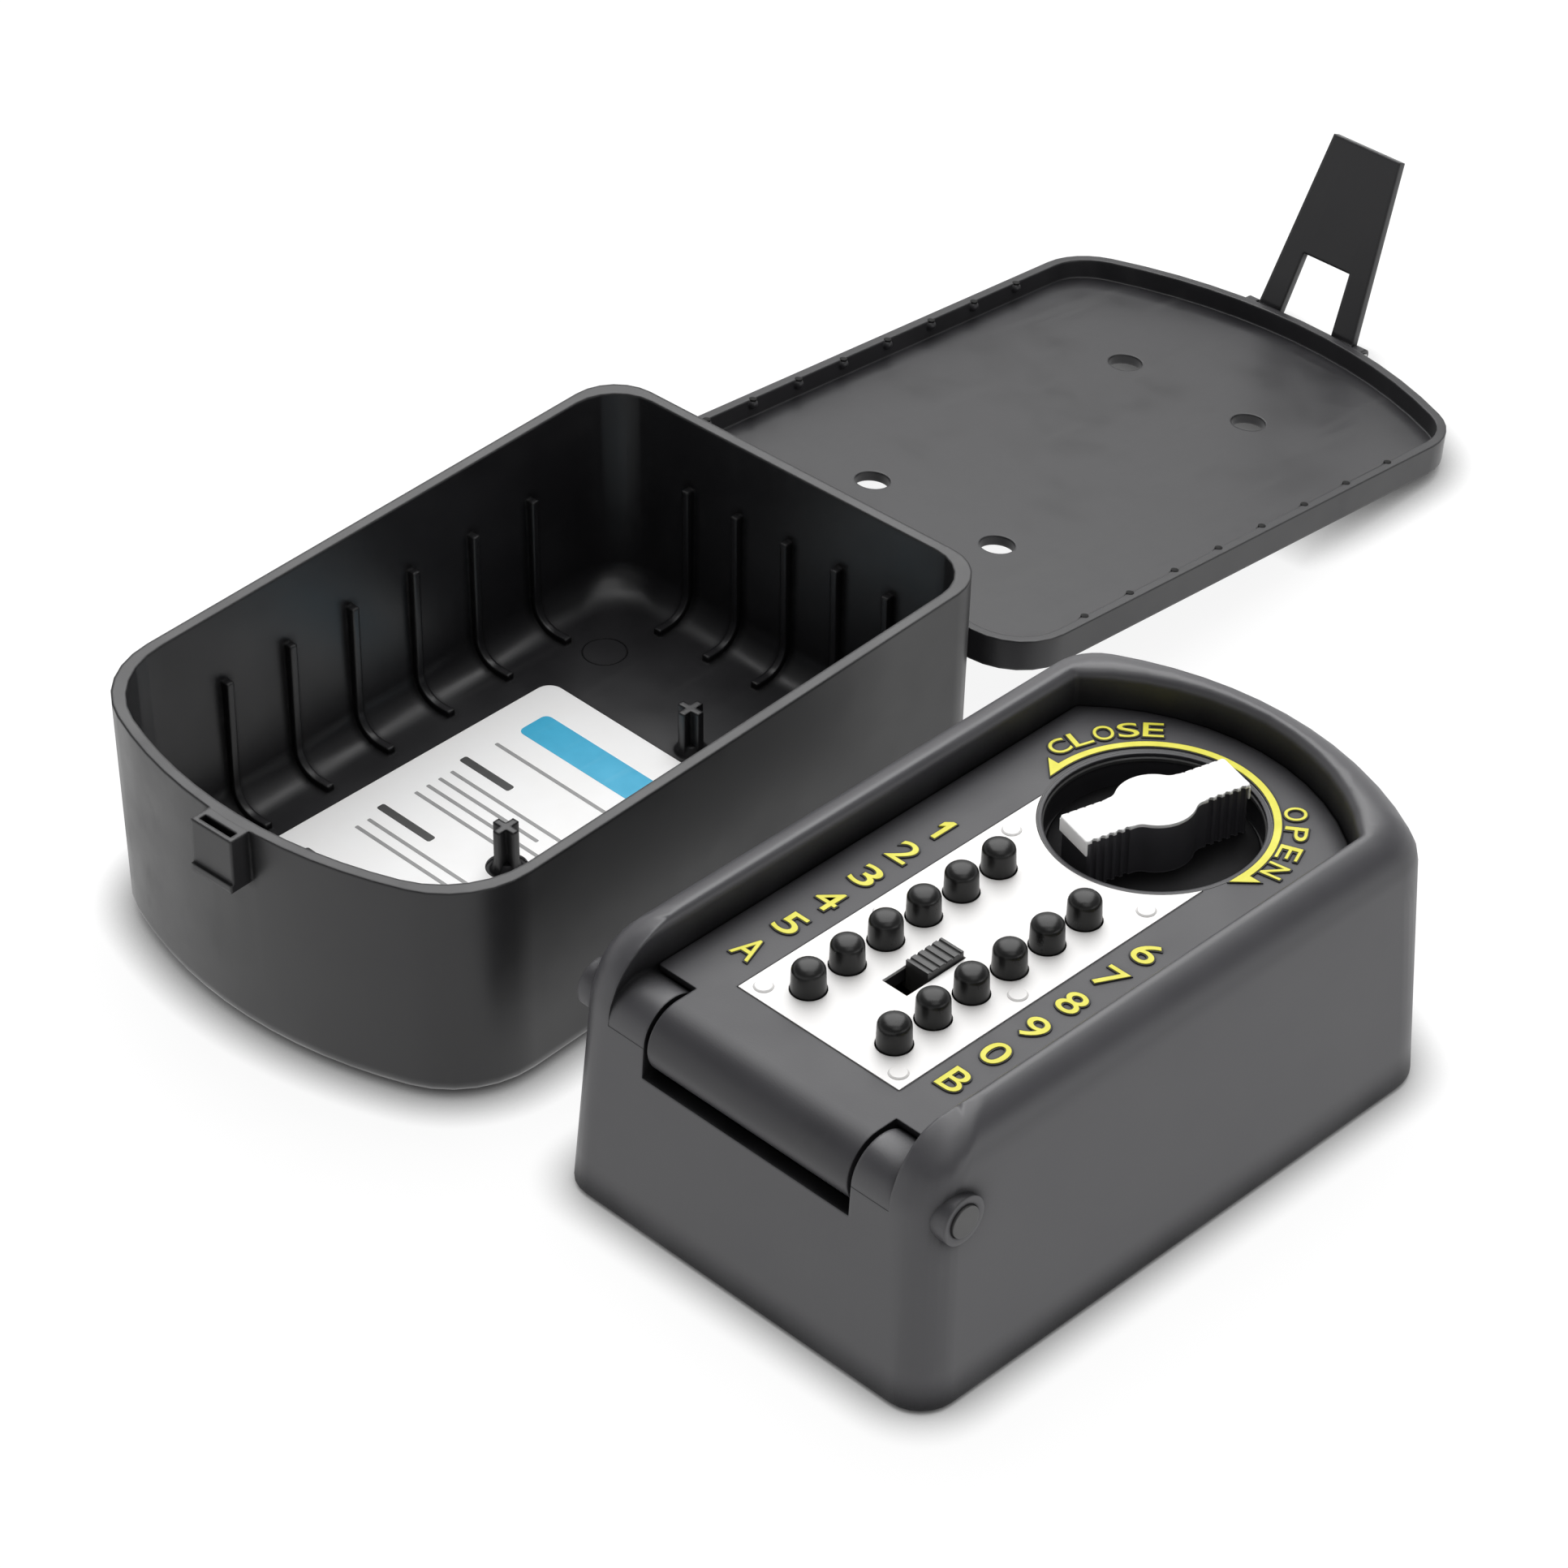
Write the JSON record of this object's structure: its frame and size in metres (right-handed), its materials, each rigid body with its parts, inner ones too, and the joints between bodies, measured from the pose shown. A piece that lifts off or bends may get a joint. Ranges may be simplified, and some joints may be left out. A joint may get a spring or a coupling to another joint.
{
  "type": "key safe",
  "caption": "Wall-mounted push-button key safe with a hinged recessed door, turn knob and reset slider, beside its open weather cover with hinged back plate and latch strap.",
  "frame": {"origin": "middle of the safe's four wall-fixing holes, on its back face", "axes": "+Z out of the wall (up as it lies on its back), +Y towards the knob end, +X to the right seen from the front"},
  "size_m": [0.2105, 0.3151, 0.0513],
  "materials": {
    "body": "satin charcoal powder coat with a fine texture",
    "pin_steel": "steel pin coated with the body",
    "steel": "plain zinc-plated steel",
    "rubber": "matt black rubber",
    "white_plate": "off-white enamel",
    "zinc": "bare die casting",
    "brass": "bare brass",
    "black_plastic": "semi-gloss black",
    "white_plastic": "white",
    "cover_plastic": "satin black",
    "card": "printed white card",
    "mark_paint": "yellow paint in the moulded marks",
    "card_ink": "printing ink on the card"
  },
  "bodies": {
    "safe": {"housing": "body", "hinge_pin": "pin_steel", "door_seal": "rubber", "strike": "steel", "strike_screws": "steel"},
    "door": {"door": "body", "keypad_plate": "white_plate", "keypad_rivets": "white_plate", "lock_case": "zinc", "lock_cover": "zinc", "case_screws": "steel", "spring_mat": "rubber", "code_bar": "brass", "bolt_guide": "zinc", "key_hooks": "steel"},
    "knob": {"knob": "black_plastic", "knob_cap": "white_plastic", "spindle": "steel", "pinion": "brass", "spindle_clip": "steel"},
    "bolt": {"bolt": "steel"},
    "reset": {"reset_slider": "black_plastic"},
    "cover": {"cover_shell": "cover_plastic", "cover_hinge_pin": "steel", "instruction_card": "card"},
    "plate": {"cover_plate": "cover_plastic", "strap_pin": "steel"},
    "strap": {"cover_strap": "cover_plastic"},
    "button_1": {"button_1": "black_plastic"},
    "button_2": {"button_2": "black_plastic"},
    "button_3": {"button_3": "black_plastic"},
    "button_4": {"button_4": "black_plastic"},
    "button_5": {"button_5": "black_plastic"},
    "button_a": {"button_a": "black_plastic"},
    "button_6": {"button_6": "black_plastic"},
    "button_7": {"button_7": "black_plastic"},
    "button_8": {"button_8": "black_plastic"},
    "button_9": {"button_9": "black_plastic"},
    "button_0": {"button_0": "black_plastic"},
    "button_b": {"button_b": "black_plastic"}
  },
  "joints": [
    {"name": "door_hinge", "type": "hinge", "parent": "safe", "child": "door", "pos_m": [0, -0.05635, 0.0372], "axis": [1, 0, 0], "range_deg": [0, 100]},
    {"name": "knob_turn", "type": "hinge", "parent": "door", "child": "knob", "pos_m": [0, 0.03275, 0.044], "axis": [0, 0, 1], "range_deg": [-30, 60]},
    {"name": "bolt_slide", "type": "slide", "parent": "door", "child": "bolt", "axis": [0, 1, 0], "range_m": [-0.00252, 0.00503]},
    {"name": "reset_slide", "type": "slide", "parent": "door", "child": "reset", "axis": [0, -1, 0], "range_m": [0, 0.0048]},
    {"name": "press_1", "type": "slide", "parent": "door", "child": "button_1", "axis": [0, 0, -1], "range_m": [0, 0.0022], "stiffness_N_per_m": 600, "deforming": ["spring_mat"]},
    {"name": "press_2", "type": "slide", "parent": "door", "child": "button_2", "axis": [0, 0, -1], "range_m": [0, 0.0022], "stiffness_N_per_m": 600, "deforming": ["spring_mat"]},
    {"name": "press_3", "type": "slide", "parent": "door", "child": "button_3", "axis": [0, 0, -1], "range_m": [0, 0.0022], "stiffness_N_per_m": 600, "deforming": ["spring_mat"]},
    {"name": "press_4", "type": "slide", "parent": "door", "child": "button_4", "axis": [0, 0, -1], "range_m": [0, 0.0022], "stiffness_N_per_m": 600, "deforming": ["spring_mat"]},
    {"name": "press_5", "type": "slide", "parent": "door", "child": "button_5", "axis": [0, 0, -1], "range_m": [0, 0.0022], "stiffness_N_per_m": 600, "deforming": ["spring_mat"]},
    {"name": "press_a", "type": "slide", "parent": "door", "child": "button_a", "axis": [0, 0, -1], "range_m": [0, 0.0022], "stiffness_N_per_m": 600, "deforming": ["spring_mat"]},
    {"name": "press_6", "type": "slide", "parent": "door", "child": "button_6", "axis": [0, 0, -1], "range_m": [0, 0.0022], "stiffness_N_per_m": 600, "deforming": ["spring_mat"]},
    {"name": "press_7", "type": "slide", "parent": "door", "child": "button_7", "axis": [0, 0, -1], "range_m": [0, 0.0022], "stiffness_N_per_m": 600, "deforming": ["spring_mat"]},
    {"name": "press_8", "type": "slide", "parent": "door", "child": "button_8", "axis": [0, 0, -1], "range_m": [0, 0.0022], "stiffness_N_per_m": 600, "deforming": ["spring_mat"]},
    {"name": "press_9", "type": "slide", "parent": "door", "child": "button_9", "axis": [0, 0, -1], "range_m": [0, 0.0022], "stiffness_N_per_m": 600, "deforming": ["spring_mat"]},
    {"name": "press_0", "type": "slide", "parent": "door", "child": "button_0", "axis": [0, 0, -1], "range_m": [0, 0.0022], "stiffness_N_per_m": 600, "deforming": ["spring_mat"]},
    {"name": "press_b", "type": "slide", "parent": "door", "child": "button_b", "axis": [0, 0, -1], "range_m": [0, 0.0022], "stiffness_N_per_m": 600, "deforming": ["spring_mat"]},
    {"name": "cover_lift", "type": "slide", "parent": "safe", "child": "cover", "axis": [0, 0, 1], "range_m": [0, 0.1]},
    {"name": "plate_hinge", "type": "hinge", "parent": "cover", "child": "plate", "pos_m": [-0.11411, 0.06765, 0.03519], "axis": [0.999, 0.0447, 0], "range_deg": [0, 187.3]},
    {"name": "strap_hinge", "type": "hinge", "parent": "plate", "child": "strap", "pos_m": [-0.12066, 0.21431, 0.00347], "axis": [0.999, 0.0447, 0], "range_deg": [-55, 19]}
  ],
  "couplings": [
    {"joint": "bolt_slide", "follows": "knob_turn", "m_per_rad": 0.0048}
  ]
}
